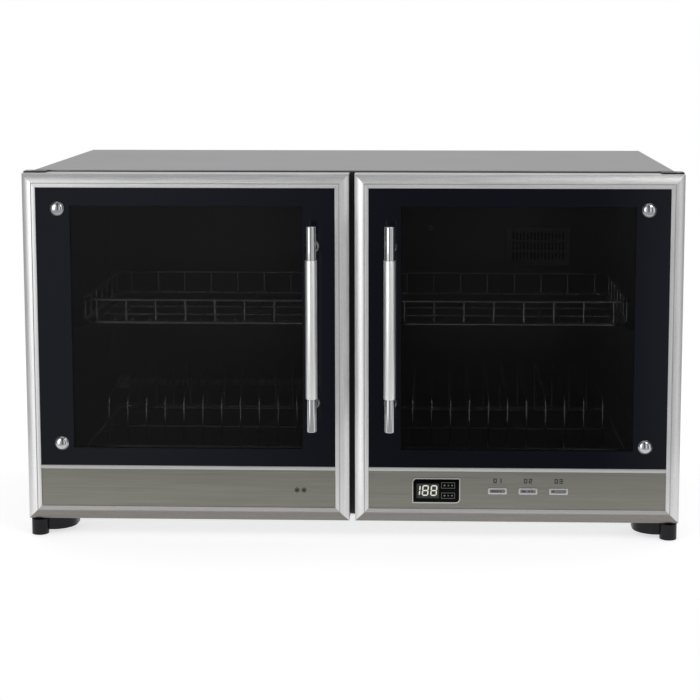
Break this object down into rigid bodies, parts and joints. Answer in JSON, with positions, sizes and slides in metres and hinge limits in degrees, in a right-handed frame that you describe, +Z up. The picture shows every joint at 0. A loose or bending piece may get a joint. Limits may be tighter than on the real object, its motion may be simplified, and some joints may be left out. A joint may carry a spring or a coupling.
{
  "type": "dish sterilizer cabinet",
  "caption": "Counter-top dish sterilizer cabinet with two side-hinged glass doors, bar handles, a control strip with display and buttons, and pull-out wire racks inside.",
  "frame": {"origin": "middle of the footprint at floor level", "axes": "+X to the right seen from the front, +Y to the back, +Z up; the doors face -Y"},
  "size_m": [0.8, 0.45, 0.452],
  "materials": {
    "shell_steel": "satin brushed",
    "back_steel": "galvanised",
    "black_steel": "semi-gloss black paint",
    "liner_steel": "rolled",
    "grille_paint": "light grey paint",
    "blanket": "glass-fibre felt",
    "chrome_wire": "bright chrome plate",
    "chrome_trim": "bright chrome plate",
    "quartz": "milky quartz",
    "ceramic_block": "glazed ceramic",
    "fan_plastic": "matte",
    "heater_fins": "heat-darkened",
    "box_plastic": "matte",
    "circuit": "solder-masked board",
    "gland_plastic": "matte",
    "zinc_screw": "zinc plated",
    "bracket_steel": "black plated",
    "pin_steel": "ground",
    "magnet": "matte",
    "foot_plastic": "satin black",
    "pad_rubber": "matte",
    "frame_aluminium": "satin anodised",
    "nylon": "matte",
    "outer_glass": "dark tinted, black printed border",
    "fascia_steel": "brushed along its length",
    "panel_steel": "black enamel",
    "clear_glass": "clear",
    "gasket_rubber": "matte",
    "grip_metal": "satin",
    "display_black": "gloss",
    "display_rim": "satin",
    "button_dark": "satin"
  },
  "bodies": {
    "root": {"top_panel": "shell_steel", "left_side_panel": "shell_steel", "right_side_panel": "shell_steel", "bottom_panel": "back_steel", "back_panel": "back_steel", "front_frame": "black_steel", "left_liner": "liner_steel", "right_liner": "liner_steel", "insulation_blankets": "blanket", "rack_rails": "liner_steel", "heater_tubes": "quartz", "heater_holders": "ceramic_block", "vent_grille": "grille_paint", "air_heater": "heater_fins", "fan_housing": "fan_plastic", "ozone_generator": "box_plastic", "power_board": "circuit", "cable_gland": "gland_plastic", "panel_screws": "zinc_screw", "hinge_brackets": "bracket_steel", "hinge_pins": "pin_steel", "magnetic_catches": "magnet", "front_feet": "foot_plastic", "rear_feet": "foot_plastic", "foot_pads": "pad_rubber"},
    "fan": {"fan_rotor": "fan_plastic"},
    "left_door": {"left_door_frame": "frame_aluminium", "left_hinge_bushes": "nylon", "left_divider": "frame_aluminium", "left_door_glass": "outer_glass", "left_fascia": "fascia_steel", "left_inner_panel": "panel_steel", "left_inner_glass": "clear_glass", "left_gasket": "gasket_rubber", "left_handle_grip": "grip_metal", "left_handle_ends": "chrome_trim", "left_glass_screws": "chrome_trim"},
    "right_door": {"right_door_frame": "frame_aluminium", "right_hinge_bushes": "nylon", "right_divider": "frame_aluminium", "right_door_glass": "outer_glass", "right_fascia": "fascia_steel", "right_inner_panel": "panel_steel", "right_inner_glass": "clear_glass", "right_gasket": "gasket_rubber", "right_handle_grip": "grip_metal", "right_handle_ends": "chrome_trim", "right_glass_screws": "chrome_trim", "display_bezel": "display_rim", "display_lens": "display_black", "button_bezels": "chrome_trim", "control_board": "circuit"},
    "button_1": {"button_1": "button_dark"},
    "button_2": {"button_2": "button_dark"},
    "button_3": {"button_3": "button_dark"},
    "left_basket": {"left_basket": "chrome_wire"},
    "left_plate_rack": {"left_plate_rack": "chrome_wire"},
    "right_basket": {"right_basket": "chrome_wire"},
    "right_plate_rack": {"right_plate_rack": "chrome_wire"}
  },
  "joints": [
    {"name": "left_door_hinge", "type": "hinge", "parent": "root", "child": "left_door", "pos_m": [-0.394, -0.162, 0.236], "axis": [0, 0, -1], "range_deg": [0, 110]},
    {"name": "right_door_hinge", "type": "hinge", "parent": "root", "child": "right_door", "pos_m": [0.394, -0.162, 0.236], "axis": [0, 0, 1], "range_deg": [0, 110]},
    {"name": "fan_spin", "type": "hinge", "parent": "root", "child": "fan", "pos_m": [0.247, 0.2, 0.32], "axis": [0, 1, 0], "continuous": true},
    {"name": "button_1_press", "type": "slide", "parent": "right_door", "child": "button_1", "axis": [0, 1, 0], "range_m": [0, 0.0015], "stiffness_N_per_m": 400},
    {"name": "button_2_press", "type": "slide", "parent": "right_door", "child": "button_2", "axis": [0, 1, 0], "range_m": [0, 0.0015], "stiffness_N_per_m": 400},
    {"name": "button_3_press", "type": "slide", "parent": "right_door", "child": "button_3", "axis": [0, 1, 0], "range_m": [0, 0.0015], "stiffness_N_per_m": 400},
    {"name": "left_basket_slide", "type": "slide", "parent": "root", "child": "left_basket", "axis": [0, -1, 0], "range_m": [0, 0.145]},
    {"name": "left_plate_rack_slide", "type": "slide", "parent": "root", "child": "left_plate_rack", "axis": [0, -1, 0], "range_m": [0, 0.145]},
    {"name": "right_basket_slide", "type": "slide", "parent": "root", "child": "right_basket", "axis": [0, -1, 0], "range_m": [0, 0.145]},
    {"name": "right_plate_rack_slide", "type": "slide", "parent": "root", "child": "right_plate_rack", "axis": [0, -1, 0], "range_m": [0, 0.145]}
  ],
  "couplings": [
    {"joint": "left_basket_slide", "follows": "left_door_hinge", "m_per_rad": 0.075},
    {"joint": "left_plate_rack_slide", "follows": "left_door_hinge", "m_per_rad": 0.075},
    {"joint": "right_basket_slide", "follows": "right_door_hinge", "m_per_rad": 0.075},
    {"joint": "right_plate_rack_slide", "follows": "right_door_hinge", "m_per_rad": 0.075}
  ]
}
